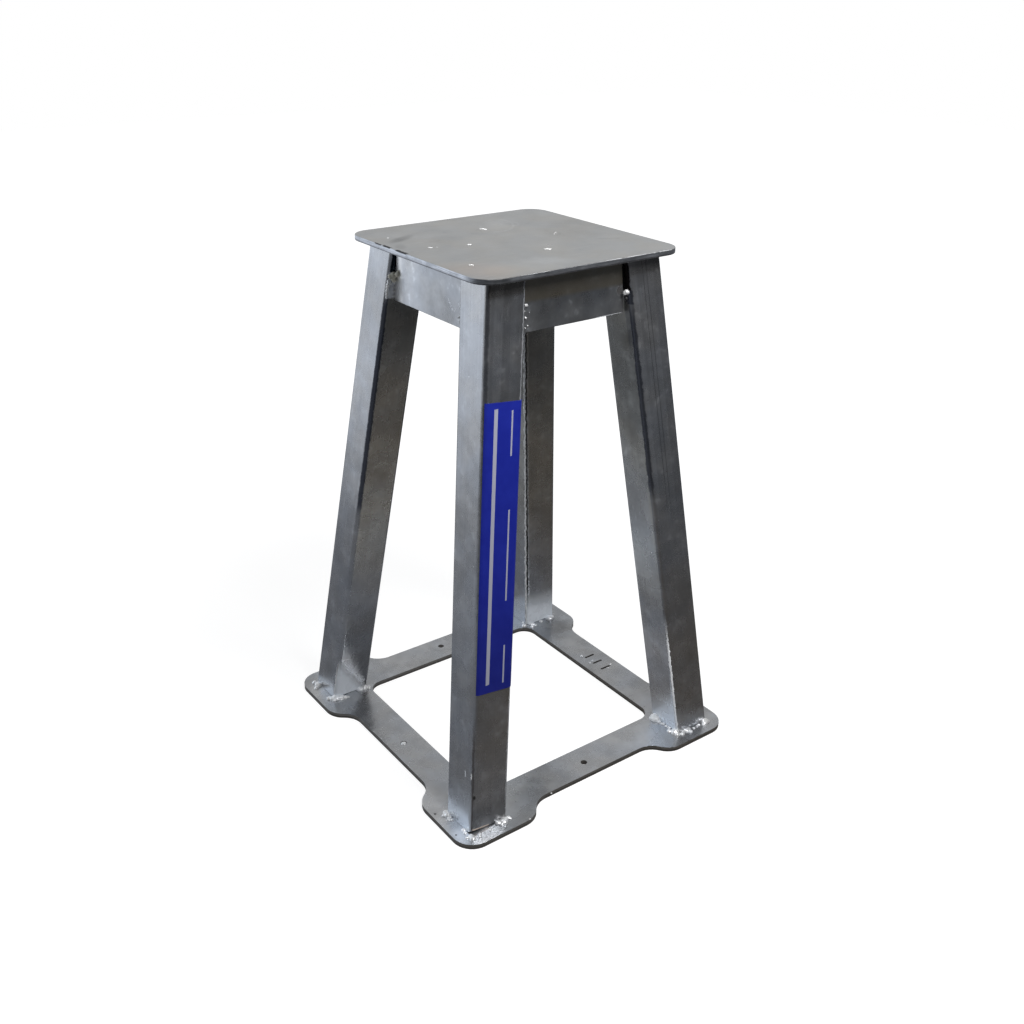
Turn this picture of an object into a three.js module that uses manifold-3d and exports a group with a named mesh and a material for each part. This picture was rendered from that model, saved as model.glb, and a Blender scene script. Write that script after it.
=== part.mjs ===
// Keel stand for a boat laid up ashore: four splayed square tubes welded between a
// laser-cut base plate and a flat top plate, braced under the top plate by four flat bars.
// Millimetres, +Z up. The origin is on the ground, under the middle of the stand.
// Front is -Y, left is -X.
import * as THREE from 'three';
import { mergeVertices } from 'three/addons/utils/BufferGeometryUtils.js';
import Module from 'manifold-3d';

const wasm = await Module();
wasm.setup();

// Overall
const standHeight = 610;

// Top plate, which the keel rests on
const topPlateSize = 266;
const topPlateThickness = 6;
const topPlateCornerRadius = 24;
const topPlateOverhang = 18;

// Base plate: a square frame of four strips, with a pad in each corner that bulges past them
const basePlateSize = 400;
const basePlateThickness = 6;
const padProjection = 24;
const padLength = 82;
const padCornerRadius = 25;
const padNeckRadius = 27;
const stripWidth = 44;
const windowCornerRadius = 18;
const stripHoleDiameter = 8;
const stripHoleInset = 19;
const stripSlotLength = 16;
const stripSlotWidth = 3;
const stripSlotPitch = 17;
const stripSlotCount = 3;

// Legs: square hollow section
const tubeSize = 50;
const tubeWall = 3;
const tubeCornerRadius = 6;
const legInsetOnPad = 18;

// Aprons: upright flat bars between the legs, under the top plate
const apronHeight = 62;
const apronThickness = 5;
const apronInset = 5;

// Welds
const footTackRadius = 8;
const footTackHeight = 5;
const apronBeadSize = 5;
const apronBeadLength = 30;
const apronBeadAboveEdge = 5;
const topBeadSize = 5;
const topBeadLength = 30;

// Label on the front left leg, wrapped a little round both corners of the tube
const labelHeight = 314;
const labelMiddleHeight = 324;
const labelThickness = 0.3;
const labelWrapLeft = THREE.MathUtils.degToRad(40);
const labelWrapRight = THREE.MathUtils.degToRad(70);

// Clearance between pieces that are cut to a slanted neighbour, and overrun of a cut
const fitGap = 0.3;
const cutOverrun = 10;

// Facets
const plateArcSteps = 9;
const neckArcSteps = 6;
const tubeArcSteps = 6;
const holeSteps = 24;
const slotEndSteps = 6;
const tackSides = 20;
const tackRings = 10;
const beadSides = 16;
const beadRings = 12;

// Worked out from the sizes above
const quarterTurn = Math.PI / 2;
const halfBase = basePlateSize / 2;
const halfTop = topPlateSize / 2;
const stripOuter = halfBase - padProjection;
const halfWindow = stripOuter - stripWidth;
const stripMiddle = halfWindow + stripWidth / 2;
const legHeight = standHeight - basePlateThickness - topPlateThickness;
const plateUnderside = basePlateThickness + legHeight;
const halfTube = tubeSize / 2;
const footMiddle = halfBase - legInsetOnPad - halfTube;
const legTopOuter = halfTop - topPlateOverhang;
const legTopMiddle = legTopOuter - halfTube;
const legTopInner = legTopOuter - tubeSize;
const legSlope = (footMiddle - legTopMiddle) / legHeight;

// The stand's corners and sides; turn is the side's angle from the front side
const corners = [
  { name: 'front_left', x: -1, y: -1 },
  { name: 'front_right', x: 1, y: -1 },
  { name: 'back_right', x: 1, y: 1 },
  { name: 'back_left', x: -1, y: 1 },
];
const sides = [
  { name: 'front', turn: 0, ends: ['left', 'right'] },
  { name: 'right', turn: quarterTurn, ends: ['front', 'back'] },
  { name: 'back', turn: 2 * quarterTurn, ends: ['right', 'left'] },
  { name: 'left', turn: 3 * quarterTurn, ends: ['back', 'front'] },
];

const stand = new THREE.Group();

function finish(colour, roughness, metalness) {
  return new THREE.MeshStandardMaterial({ color: colour, roughness, metalness });
}

const finishes = {
  topPlate: finish(0xa3a4a2, 0.45, 0.8),
  basePlate: finish(0x8c8e91, 0.45, 0.8),
  tube: finish(0x989ca2, 0.4, 0.8),
  apron: finish(0xa0a5ad, 0.4, 0.8),
  weld: finish(0xc6c9cc, 0.3, 0.9),
  label: finish(0x1c2496, 0.4, 0),
};

function add(name, geometry, material, parent = stand) {
  const mesh = new THREE.Mesh(geometry, material.clone());
  mesh.name = name;
  parent.add(mesh);
  return mesh;
}

// Points of an arc about a centre, from one angle to another
function arc(x, y, radius, from, to, steps) {
  const points = [];
  for (let i = 0; i <= steps; i += 1) {
    const angle = from + ((to - from) * i) / steps;
    points.push(new THREE.Vector2(x + radius * Math.cos(angle), y + radius * Math.sin(angle)));
  }
  return points;
}

function roundedSquare(half, radius, steps) {
  const points = [];
  for (let i = 0; i < corners.length; i += 1) {
    const from = i * quarterTurn;
    const middle = new THREE.Vector2(half - radius, half - radius)
      .rotateAround(new THREE.Vector2(), from);
    points.push(...arc(middle.x, middle.y, radius, from, from + quarterTurn, steps));
  }
  return points;
}

function extrude(outline, holes, depth) {
  const shape = new THREE.Shape(outline);
  shape.holes = holes.map((hole) => new THREE.Path(hole));
  return new THREE.ExtrudeGeometry(shape, { depth, bevelEnabled: false });
}

function toManifold(geometry) {
  const bare = geometry.clone();
  bare.deleteAttribute('normal');
  bare.deleteAttribute('uv');
  const merged = mergeVertices(bare);
  return new wasm.Manifold(new wasm.Mesh({
    numProp: 3,
    vertProperties: new Float32Array(merged.attributes.position.array),
    triVerts: new Uint32Array(merged.index.array),
  }));
}

function toGeometry(solid) {
  const mesh = solid.getMesh();
  const geometry = new THREE.BufferGeometry();
  geometry.setAttribute('position', new THREE.BufferAttribute(mesh.vertProperties, 3));
  geometry.setIndex(new THREE.BufferAttribute(mesh.triVerts, 1));
  geometry.computeVertexNormals();
  return geometry;
}

// Leans a geometry that stands on z = 0, as the leg in the corner (x, y) leans
function lean(geometry, corner) {
  const shear = new THREE.Matrix4();
  shear.makeShear(0, 0, 0, 0, -corner.x * legSlope, -corner.y * legSlope);
  return geometry.applyMatrix4(shear);
}

// Outline of the base plate in one corner: neck, pad side, pad corner, pad side, neck.
// A neck is two equal arcs, one hollow and one round, that step out by the pad's projection.
function padOutline() {
  const neckAngle = Math.acos(1 - padProjection / (2 * padNeckRadius));
  const padEnd = halfBase - padLength;
  const stripEnd = padEnd - 2 * padNeckRadius * Math.sin(neckAngle);
  const hollow = stripOuter + padNeckRadius;
  const round = halfBase - padNeckRadius;
  const cornerMiddle = halfBase - padCornerRadius;
  const half = [
    ...arc(hollow, stripEnd, padNeckRadius, Math.PI, Math.PI - neckAngle, neckArcSteps),
    ...arc(round, padEnd, padNeckRadius, -neckAngle, 0, neckArcSteps).slice(1),
  ];
  const mirrored = half.map((point) => new THREE.Vector2(point.y, point.x)).reverse();
  const corner = arc(cornerMiddle, cornerMiddle, padCornerRadius, 0, quarterTurn, plateArcSteps);
  return [...half, ...corner, ...mirrored];
}

function basePlateOutline() {
  const pad = padOutline();
  const points = [];
  for (let i = 0; i < corners.length; i += 1) {
    const turned = pad.map((point) => point.clone().rotateAround(new THREE.Vector2(), i * quarterTurn));
    points.push(...turned);
  }
  return points;
}

function slotAcrossRightStrip(y) {
  const radius = stripSlotWidth / 2;
  const reach = stripSlotLength / 2 - radius;
  return [
    ...arc(stripMiddle + reach, y, radius, -quarterTurn, quarterTurn, slotEndSteps),
    ...arc(stripMiddle - reach, y, radius, quarterTurn, 3 * quarterTurn, slotEndSteps),
  ];
}

function addBasePlate() {
  const holeRadius = stripHoleDiameter / 2;
  const holes = [roundedSquare(halfWindow, windowCornerRadius, plateArcSteps)];
  const reach = stripOuter - stripHoleInset;
  const holePlaces = [[0, -reach], [0, reach], [-reach, 0]];
  for (const [x, y] of holePlaces) {
    holes.push(arc(x, y, holeRadius, 0, 4 * quarterTurn, holeSteps).slice(1));
  }
  for (let i = 0; i < stripSlotCount; i += 1) {
    holes.push(slotAcrossRightStrip((i - (stripSlotCount - 1) / 2) * stripSlotPitch));
  }
  add('base_plate', extrude(basePlateOutline(), holes, basePlateThickness), finishes.basePlate);
}

function addTopPlate() {
  const outline = roundedSquare(halfTop, topPlateCornerRadius, plateArcSteps);
  const mesh = add('top_plate', extrude(outline, [], topPlateThickness), finishes.topPlate);
  mesh.position.z = plateUnderside;
}

function addLegs() {
  const outside = roundedSquare(halfTube, tubeCornerRadius, tubeArcSteps);
  const insideRadius = Math.max(tubeCornerRadius - tubeWall, tubeWall / 2);
  const bore = roundedSquare(halfTube - tubeWall, insideRadius, tubeArcSteps);
  for (const corner of corners) {
    const geometry = lean(extrude(outside, [bore], legHeight), corner);
    const mesh = add(`leg_${corner.name}`, geometry, finishes.tube);
    mesh.position.set(corner.x * footMiddle, corner.y * footMiddle, basePlateThickness);
  }
}

// Tack welds at the four corners of each leg's foot, each cut to the tube and to the plate
function addFootTacks() {
  const grown = roundedSquare(halfTube + fitGap, tubeCornerRadius + fitGap, tubeArcSteps);
  const cutHeight = footTackHeight + 2 * cutOverrun;
  const cornerArcMiddle = halfTube - tubeCornerRadius * (1 - Math.SQRT1_2);
  const above = new THREE.BoxGeometry(tubeSize * 2, tubeSize * 2, cutHeight);
  above.translate(0, 0, cutHeight / 2);
  const abovePlate = toManifold(above);
  for (const leg of corners) {
    const tube = lean(extrude(grown, [], cutHeight).translate(0, 0, -cutOverrun), leg);
    const tubeSolid = toManifold(tube);
    for (const [index, spot] of corners.entries()) {
      const blob = new THREE.SphereGeometry(1, tackSides, tackRings);
      blob.scale(footTackRadius, footTackRadius, footTackHeight);
      blob.translate(spot.x * cornerArcMiddle, spot.y * cornerArcMiddle, 0);
      const solid = toManifold(blob).intersect(abovePlate).subtract(tubeSolid);
      const mesh = add(`foot_tack_${leg.name}_${index + 1}`, toGeometry(solid), finishes.weld);
      mesh.position.set(leg.x * footMiddle, leg.y * footMiddle, basePlateThickness);
    }
  }
}

// An apron's ends are cut to the slant of the legs that it stands between
function apronOutline() {
  const topReach = legTopInner - fitGap;
  const bottomReach = topReach + legSlope * apronHeight;
  return [
    new THREE.Vector2(-bottomReach, -apronHeight),
    new THREE.Vector2(bottomReach, -apronHeight),
    new THREE.Vector2(topReach, 0),
    new THREE.Vector2(-topReach, 0),
  ];
}

// A quarter of an ellipsoid in the corner between an apron's face and a leg's, end = 1 or -1
function apronBead(end) {
  const bead = new THREE.SphereGeometry(1, beadSides, beadRings);
  bead.scale(apronBeadSize, apronBeadSize, apronBeadLength / 2);
  const keep = new THREE.BoxGeometry(cutOverrun, cutOverrun, apronBeadLength + cutOverrun);
  keep.translate((-end * cutOverrun) / 2, -cutOverrun / 2, 0);
  const shear = new THREE.Matrix4().makeShear(0, 0, 0, 0, -end * legSlope, 0);
  return toGeometry(toManifold(bead).intersect(toManifold(keep))).applyMatrix4(shear);
}

function addAprons() {
  const face = legTopOuter - apronInset;
  const beadMiddleHeight = plateUnderside - apronHeight + apronBeadAboveEdge + apronBeadLength / 2;
  const beadReach = legTopInner + legSlope * (plateUnderside - beadMiddleHeight) - fitGap;
  for (const side of sides) {
    const group = new THREE.Group();
    group.rotation.z = side.turn;
    stand.add(group);
    const bar = extrude(apronOutline(), [], apronThickness).rotateX(quarterTurn);
    const mesh = add(`apron_${side.name}`, bar, finishes.apron, group);
    mesh.position.set(0, -face + apronThickness, plateUnderside);
    for (const [index, end] of [-1, 1].entries()) {
      const name = `apron_bead_${side.name}_${side.ends[index]}`;
      const bead = add(name, apronBead(end), finishes.weld, group);
      bead.position.set(end * beadReach, -face - fitGap, beadMiddleHeight);
    }
  }
}

// Fillet welds under the top plate, on the two inner faces of each leg
function addTopBeads() {
  const section = [
    new THREE.Vector2(0, 0),
    new THREE.Vector2(-legSlope * topBeadSize, -topBeadSize),
    new THREE.Vector2(topBeadSize, 0),
  ];
  const face = legTopInner - fitGap;
  const start = legTopInner + tubeCornerRadius;
  for (const side of sides) {
    const group = new THREE.Group();
    group.rotation.z = side.turn;
    stand.add(group);
    for (const [index, end] of [-1, 1].entries()) {
      const outline = section.map((point) => new THREE.Vector2(-end * point.x, point.y));
      const fillet = extrude(outline, [], topBeadLength).rotateX(quarterTurn);
      const name = `top_bead_${side.name}_${side.ends[index]}`;
      const mesh = add(name, fillet, finishes.weld, group);
      mesh.position.set(end * face, -start, plateUnderside);
    }
  }
}

function addLabel() {
  const leg = corners[0];
  const middle = halfTube - tubeCornerRadius;
  const line = (offset) => {
    const radius = tubeCornerRadius + offset;
    return [
      ...arc(-middle, -middle, radius, -quarterTurn - labelWrapLeft, -quarterTurn, tubeArcSteps),
      ...arc(middle, -middle, radius, -quarterTurn, -quarterTurn + labelWrapRight, tubeArcSteps),
    ];
  };
  const outline = [...line(fitGap + labelThickness), ...line(fitGap).reverse()];
  const sheet = extrude(outline, [], labelHeight);
  const low = labelMiddleHeight - basePlateThickness - labelHeight / 2;
  const squareToLeg = new THREE.Matrix4().makeShear(0, leg.x * legSlope, 0, 0, 0, 0);
  sheet.applyMatrix4(squareToLeg).translate(0, 0, low);
  const mesh = add('label', lean(sheet, leg), finishes.label);
  mesh.position.set(leg.x * footMiddle, leg.y * footMiddle, basePlateThickness);
}

addBasePlate();
addTopPlate();
addLegs();
addFootTacks();
addAprons();
addTopBeads();
addLabel();

export default stand;
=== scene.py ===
"""A hot-dip galvanised keel stand on a pale floor, in metres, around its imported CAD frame."""
import math
import random

import bmesh
import bpy
from mathutils import Matrix, Vector, noise


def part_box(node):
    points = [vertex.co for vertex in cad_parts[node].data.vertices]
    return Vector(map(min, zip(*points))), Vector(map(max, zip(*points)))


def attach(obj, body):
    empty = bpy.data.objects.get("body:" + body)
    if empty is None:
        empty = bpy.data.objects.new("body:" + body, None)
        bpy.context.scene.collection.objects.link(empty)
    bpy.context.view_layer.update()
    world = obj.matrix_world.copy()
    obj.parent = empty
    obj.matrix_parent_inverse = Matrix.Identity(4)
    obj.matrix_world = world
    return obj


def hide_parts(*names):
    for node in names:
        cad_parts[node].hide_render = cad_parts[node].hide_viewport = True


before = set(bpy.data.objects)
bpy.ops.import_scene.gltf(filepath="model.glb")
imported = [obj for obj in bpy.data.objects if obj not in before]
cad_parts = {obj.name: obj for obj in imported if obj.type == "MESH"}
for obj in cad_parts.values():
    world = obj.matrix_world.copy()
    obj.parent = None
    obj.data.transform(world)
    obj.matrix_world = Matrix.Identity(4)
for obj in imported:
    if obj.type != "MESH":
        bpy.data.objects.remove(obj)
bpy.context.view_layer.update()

# Sizes of the real stand, in metres
TUBE_SIDE = 0.05
TUBE_EDGE_ROUNDING = 0.0004
PLATE_EDGE_ROUNDING = 0.0007
BAR_EDGE_ROUNDING = 0.0006
# White lines on the label: distance from the tube's middle, width, and stretches (from height, to height)
LABEL_LINES = [
    (-0.0095, 0.0046, [(0.1775, 0.4755)]),
    (0.0112, 0.002, [(0.1735, 0.2165), (0.2665, 0.366), (0.423, 0.4705)]),
]
# Tones of the label's film and of its lines
FILM_TONES = [(0.008, 0.017, 0.275, 1), (0.011, 0.022, 0.305, 1)]
LINE_TONE = (0.42, 0.43, 0.53, 1)
MERGE_DISTANCE = 1e-6
FLAT_ANGLE = math.radians(1)
RIM_ANGLE = math.radians(40)
SMOOTH_ANGLE = math.radians(38)
# Faces of a plate that point up less than this share are its cut edge
EDGE_TILT = 0.6

# How a zinc skin looks where nothing else is said
ZINC_LEVELS = {"Clouds": 0.25, "Grain": 0.3, "Runs": 0.0, "Feathers": 0.3, "Specks": 1.0, "Gloss": 0.3}
COOL_TINT, WARM_TINT = (0.975, 0.995, 1.02, 1), (1.01, 1.0, 0.98, 1)
FEATHER_TONE = (0.8, 0.83, 0.87, 1)
FLECK_TONE = (0.86, 0.88, 0.9, 1)

# Corners as (name, x side, y side), and sides as (name, quarter turns, their left and right ends)
CORNERS = [("front_left", -1, -1), ("front_right", 1, -1), ("back_right", 1, 1), ("back_left", -1, 1)]
SIDES = [
    ("front", 0, ("left", "right")), ("right", 1, ("front", "back")), ("back", 2, ("right", "left")),
    ("left", 3, ("back", "front")),
]
# How far each tube's foot stands off the plate: everywhere, and more at its front left corner
FOOT_GAPS = {"front_left": (0.0, 0.0048), "front_right": (0.0004, 0.0006),
             "back_right": (0.0003, 0.0003), "back_left": (0.0003, 0.0006)}
# How far the raised corner reaches along the foot's front and its left, and how much of a foot stays sharp
FOOT_RISE_ALONG, FOOT_RISE_ASIDE = 0.036, 0.0065
FOOT_HEIGHT = 0.02
# Painted light and shade on the inner faces of each tube: how bright low down, in the middle and high
# up, and from and to which height they fade
INNER_FACE_LIGHT_AND_SHADE = {
    "front_left": (1.0, 1.0, 0.8, 0.4, 0.5),
    "front_right": (1.75, 1.5, 0.7, 0.34, 0.47),
    "back_right": (1.0, 1.12, 0.82, 0.31, 0.375),
    "back_left": (0.8, 1.6, 0.8, 0.43, 0.53),
}
# The painted glow at the feet of the left and the front faces, painted light and reflection: strength,
# height, fall across the face, lift (how far it bends the shading normal up), and the share of the height
# where it starts to fade
FOOT_GLOWS = {
    "front_left": ((0.86, 0.08, 0.55, 0.0, 0.25), (0.0, 0.06, 0.7, 0.0, 0.25)),
    "front_right": ((1.2, 0.085, 0.75, 0.2, 0.25), (0.24, 0.05, 0.3, 0.0, 0.25)),
    "back_right": ((0.33, 0.06, 0.4, 0.0, 0.25), (1.18, 0.078, 0.2, 0.8, 0.25)),
    "back_left": ((0.45, 0.045, 0.3, 0.0, 0.25), (1.02, 0.071, 1.15, 0.6, 0.62)),
}
GLOW_TONE = (0.86, 0.92, 1.0, 1)
GLOW_MATTNESS = (0.5, 0.95)
INNER_TINT = (1.03, 1.0, 0.9, 1)
# Marks on each tube, in millimetres from its front left edge: from and to which distance round the tube,
# from and to which height, how softly round and up; then colour, strength, and how matt. Most are painted
# light and shade: the dark ones paint shade, shadow and dark reflections along the edges, under the top
# plate and in the slots beside the bars, and the pale ones paint light and highlights
# Dark tones for painted shade, shadow and dark reflections
NAVY = (0.07, 0.078, 0.105)
SLATE = (0.02, 0.028, 0.04)
BLACK = (0.01, 0.008, 0.008)
SHADE = (0.1, 0.075, 0.045)
GREY = (0.1, 0.1, 0.1)
DARK_BROWN = (0.07, 0.052, 0.045)
# A pale tone for painted light on the faces
PALE_PAINTED_LIGHT = (0.82, 0.85, 0.9)
# White, mostly for painted highlights along the edges
WHITE = (0.95, 0.96, 0.98)
TUBE_MARKS = {
    "front_left": [
        (-1, 2.8, 230, 700, 0.9, 50, NAVY, 0.5, 0.0),
        (-1.4, 1.4, -100, 130, 0.5, 30, DARK_BROWN, 0.7, 0.3),
        (-2, -0.8, 71, 78, 0.3, 1, WHITE, 0.8, 0.9),
        (-13.5, -12.6, 68, 76, 0.3, 1, WHITE, 0.5, 0.6),
        (-50, -1, 190, 280, 2, 30, PALE_PAINTED_LIGHT, 0.26, 0.0),
        (2, 52, -100, 34, 2, 10, GREY, 0.42, 0.0),
        (1, 50, 586, 700, 0.5, 3, SHADE, 0.5, 0.0),
        (47, 48.6, 20, 700, 0.5, 10, PALE_PAINTED_LIGHT, 0.45, 0.8),
    ],
    "front_right": [
        (-3.4, 2.4, 330, 552, 0.8, 20, NAVY, 0.8, 0.0),
        (-50, -6, 210, 350, 5, 30, PALE_PAINTED_LIGHT, 0.42, 0.1),
        (-50, -2, 140, 200, 8, 20, NAVY, 0.22, 0.0),
        (1, 50, 584, 700, 0.5, 3, SHADE, 0.35, 0.0),
        (-10.5, -1, 500, 553, 1, 14, NAVY, 0.45, 0.0),
        (-12.5, 1, 567, 700, 0.6, 1.5, BLACK, 1.0, 0.0),
        (-6, 2.4, 552.5, 568, 0.8, 1, NAVY, 0.85, 0.0),
        (-2.2, 0.4, -100, 150, 0.5, 30, WHITE, 1.0, 0.95),
    ],
    "back_right": [
        (-2.4, -0.2, -100, 700, 0.5, 10, WHITE, 0.95, 0.9),
        (-50, -3, 375, 570, 1, 30, BLACK, 0.48, 0.0),
        (0, 1.8, 20, 700, 0.4, 10, BLACK, 0.9, 0.0),
    ],
    "back_left": [
        (-2.8, 2.8, 280, 545, 0.8, 10, NAVY, 0.88, 0.0),
        (1, 14, 574.5, 700, 0.6, 1.2, SLATE, 1.0, 0.0),
        (-0.5, 11.5, 545, 574.5, 0.6, 1.5, PALE_PAINTED_LIGHT, 1.0, 0.95),
        (-52, -3, 80, 280, 2, 30, NAVY, 0.24, 0.0),
        (-52, -1, 490, 575, 1, 30, GREY, 0.24, 0.0),
        (4, 52, 30, 120, 3, 20, GREY, 0.2, 0.0),
        (28, 52, -100, 60, 8, 15, GREY, 0.3, 0.0),
        (-2.2, 0, -100, 50, 0.5, 20, WHITE, 0.9, 0.8),
    ],
}
# The lip of the raised foot: its height at the edge, how it falls along the foot, and how far it reaches
FOOT_LIP = (0.0111, 0.11, 0.024)
LIP_TONE = (0.66, 0.57, 0.5, 1)
# How far the marks' edges stray
RAGGED = 0.0035
# Lengthwise bands on the front faces: from and to which distance round the tube, and how bright
TUBE_BANDS = {
    "front_left": [(0.0085, 0.0198, 1.15), (0.02, 0.031, 0.92), (0.0405, 0.047, 0.92)],
    "front_right": [
        (0.004, 0.01, 1.14), (0.0203, 0.0214, 0.55), (0.0262, 0.0273, 0.6), (0.0365, 0.048, 0.88),
    ],
}
BANDS_BEGIN = (0.26, 0.38)
# The bars that were cut a little short: the end (-1 or 1) with the gap, and its width at top and bottom
SHORT_BARS = {"front": (1, 0.0012, 0.0026), "left": (-1, 0.0014, 0.0)}
# The strips of shade under the top plate and the light on the front bar's lower edge: from which height
BAR_SHADE, BAR_LIGHT = 0.574, 0.543
BAR_SHADE_TONE = (0.33, 0.27, 0.17, 1)
BAR_LIGHT_REACH = (0.03, 0.067)
# Painted light on the back end of the left bar, where the tube beside it shades the bar
BAR_END_PAINTED_LIGHT = (0.05, 0.06)
BAR_END_PAINTED_LIGHT_TONE = (0.97, 0.97, 0.97, 1)

# How much wider than their measured tops the welds spread
WELD_SPREAD = 1.45
# How finely the lumps are run together, how uneven their skins are, how deep they sink into the base plate,
# and how far the hidden ones stand off the tube
VOXEL_SIZE = 0.0005
SMOOTH_SKIN, FILL_SKIN, ROUGH_SKIN = 0.0003, 0.0005, 0.0008
SKIN_WAVES = 300
WELD_DEPTH = 0.0008
WELD_STAND_OFF = 0.0015
# How far a lump's middle is shifted out, as a share of its radius, and how much wider the bars' lumps are
LUMP_SHIFT = 0.2
BAR_WELD_SPREAD = 1.1
# The hidden welds: the seeds of their chances, half a foot weld's length, and the lumps' radii and strays
FOOT_SEED, BAR_SEED, TOP_SEED = 7, 11, 13
HIDDEN_HALF_LENGTH = 0.01
FOOT_LUMP_RADII, BAR_LUMP_RADII, TOP_LUMP_RADII = (0.0022, 0.0038), (0.0016, 0.0026), (0.0024, 0.0032)
BAR_LUMP_STRAY = (-0.002, 0.001)
# The welds under the top plate: how many lumps, and how far their middles lie under the plate
TOP_WELD_LUMPS, TOP_WELD_DROP = 7, 0.001
# The welds that show, each a row of lumps (x, y, radius) on the base plate; all lumps are in millimetres
FOOT_LUMPS = {
    "front_left_4": [
        (-184.2, -136, 2.6), (-185, -140.5, 3.2), (-184.8, -144, 2.2), (-188.8, -138.5, 1.8),
        (-188, -147, 1.7), (-185.2, -150, 1.4),
    ],
    "front_left_1": [
        (-184, -171.5, 2.2), (-185.2, -176, 1.7), (-183, -184, 2.3), (-183.6, -188, 2.5),
        (-173.5, -186.8, 1.7), (-175.5, -189.8, 1.5), (-187.7, -183.1, 1.3),
    ],
    "front_left_2": [
        (-146.4, -183.5, 2.7), (-137, -183.5, 2.5), (-140.5, -186.2, 3.4), (-145, -188.5, 1.7),
        (-131.8, -183.4, 1.8), (-130.5, -185.7, 1.2),
    ],
    "back_left_4": [
        (-184.5, 170.4, 3.8), (-189.8, 165.9, 2.3), (-183.8, 171.6, 2.3), (-186.5, 178.7, 2.2),
    ],
    "back_left_1": [
        (-187.7, 135, 2.5), (-183.5, 131, 3.6), (-178.8, 128.5, 3.8), (-184.2, 127.8, 2.1),
        (-180, 131.8, 3.6), (-176.2, 125.6, 2), (-175.8, 130.2, 3), (-173.5, 127.5, 3.2), (-169, 126.2, 2),
        (-165.5, 124.5, 1.3),
    ],
    "back_left_2": [(-145, 130, 3.2), (-139, 129, 3.6), (-133.5, 126.5, 2.4)],
    "front_right_4": [
        (130, -142.9, 5.3), (126.6, -140.1, 2.8), (128.7, -151.1, 2), (129.9, -156.6, 1.7),
        (129.8, -162.2, 1.5),
    ],
    "front_right_1": [
        (130.5, -167.1, 1.8), (126, -172.1, 2.1), (130.3, -178, 4), (129, -183, 2.4), (135, -186, 2.1),
        (139.3, -183.5, 1.9), (144.3, -183.5, 2.1), (148.8, -183, 2), (147, -188.3, 2.2),
    ],
    "front_right_2": [
        (176.8, -184, 3.6), (173.8, -186.2, 2.8), (179.6, -186.2, 2), (170, -187.6, 1.6),
        (165.7, -184.4, 1.4), (161.7, -184.9, 1.4), (155.7, -185.6, 1.4),
    ],
    "back_right_1": [
        (132, 139.9, 1.6), (127.5, 132, 2.6), (138.5, 130, 2.3), (140.6, 128.4, 2.3), (135.6, 123.5, 2.2),
        (142.6, 124, 1.7),
    ],
    "back_right_2": [(170, 127.1, 4.2), (175.1, 127.5, 2.4), (154.7, 127.7, 2)],
}
# The welds that show at the bars' ends, as lumps (to the right as seen from outside, height, radius)
BAR_LUMPS = {
    "left_front": [
        (61.4, 570, 1.1), (60.8, 565, 1.4), (61.4, 560, 1.1), (60.5, 554.5, 1.4), (60, 549.5, 1.3),
        (57, 552.8, 1),
    ],
    "front_left": [
        (-64.5, 571.2, 1.8), (-62.5, 570.8, 1.5), (-67.2, 569.1, 1), (-65, 565, 0.7), (-64, 557.7, 1.3),
        (-61, 549, 0.8), (-64, 546.9, 0.8), (-59, 563, 0.6),
    ],
}
# The dull brown weld (outwards, to the right, height, radius)
BROWN_LUMPS = [
    (2, -68, 571.5, 4.2), (6, -69, 570.5, 2.8), (0.4, -61.5, 573.8, 3.3), (2.8, -66.8, 566.2, 2.7),
    (0.2, -60.5, 576.8, 2),
]
# The welds in the corners between a bar's outer side and the tube beside it (x, y, height, radius)
CORNER_LUMPS = {
    "front_right": [(68.5, -114.6, 566, 3.2), (67.2, -113.5, 565, 2.6)],
    "left_back": [
        (-115.5, 70, 562.2, 1.7), (-117.2, 70.2, 561.7, 1.1), (-110.8, 69, 562, 1.3),
        (-110.8, 69.6, 557.5, 1.4), (-110.6, 70.2, 553, 1.4), (-110.5, 70.8, 547.5, 1.4),
    ],
}
# The welds that are white all over, and those with a rougher skin
WHITE_WELDS = ("left_front", "left_back", "front_right_4")
ROUGH_WELDS = ("back_left_1", "back_left_2", "back_left_4")
# The dull lumps under the front bar's weld, painted near black as shade and dark reflection (x, y, height,
# radius)
DARK_PAINTED_LUMPS = [(69.2, -113.3, 558.6, 2.3), (70.2, -114, 554, 1)]
# The pale rough weld under the brown one (x, y, height, radius)
FILL_SHAPE = (0.7, 1.1, 1.3)
FILL_LUMPS = [
    (-118.7, 68.9, 565, 1.8), (-119.2, 69.2, 561.2, 2.2), (-119.6, 69.8, 557.5, 2), (-120, 70.2, 554, 2.2),
    (-120.4, 70.6, 550.2, 1.9), (-120.7, 71, 547, 1.6),
]
# Drops of zinc on the top plate (x, y, radius, stretch)
TOP_DROPS = [
    (0.0038, 0.0638, 0.0017, 1.4), (0.0062, 0.0602, 0.0012, 1.0), (-0.0535, 0.0058, 0.0016, 1.2),
    (-0.0965, 0.0171, 0.0013, 1.6), (-0.0887, 0.0153, 0.0006, 1.6), (0.0041, -0.0574, 0.0019, 1.6),
    (-0.1039, -0.0709, 0.0013, 1.6), (-0.1097, 0.082, 0.0009, 1.0), (0.0604, 0.001, 0.0007, 1.2),
    (0.064, 0.0042, 0.0006, 1.0), (0.0566, -0.0022, 0.0006, 1.0),
]
# How much wider than measured they lie, and their heights as a share of the radius
DROP_SPREAD = 1.4
TOP_DROP_HEIGHT, BASE_DROP_HEIGHT = 0.42, 0.6
DROP_TURN = math.radians(-36)
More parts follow.
